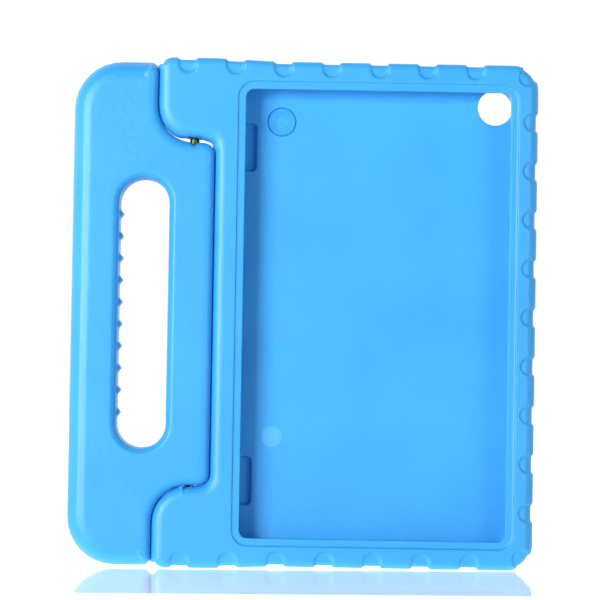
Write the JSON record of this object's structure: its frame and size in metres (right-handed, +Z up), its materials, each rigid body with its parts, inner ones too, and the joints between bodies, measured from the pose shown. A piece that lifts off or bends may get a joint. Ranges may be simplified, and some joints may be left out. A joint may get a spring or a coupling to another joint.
{
  "type": "tablet case",
  "caption": "Moulded foam tablet case with a carrying handle that folds back on a pinned hinge to serve as a stand.",
  "frame": {"origin": "under the middle of the whole object, at the height of the lowest point of its ears, with the case standing on a short side", "axes": "+Z up along the tablet's long side, the tablet and the screen side face -Y, +Y is the flat back, the handle is at -X and +X points to the rim furthest from it"},
  "size_m": [0.2184, 0.02, 0.239],
  "materials": {
    "case_foam": "fine matte moulded foam",
    "handle_foam": "fine matte moulded foam",
    "sleeve_plastic": "moulded, natural",
    "pin_steel": "turned, yellow passivated"
  },
  "bodies": {
    "case": {"case_body": "case_foam", "upper_ear_sleeve": "sleeve_plastic", "lower_ear_sleeve": "sleeve_plastic"},
    "handle": {"handle_stand": "handle_foam", "upper_handle_insert": "sleeve_plastic", "lower_handle_insert": "sleeve_plastic", "upper_hinge_pin": "pin_steel", "lower_hinge_pin": "pin_steel"}
  },
  "joints": [
    {"name": "handle_hinge", "type": "hinge", "parent": "case", "child": "handle", "pos_m": [-0.05237, 0, 0.1195], "axis": [0, 0, -1], "range_deg": [0, 110]}
  ]
}
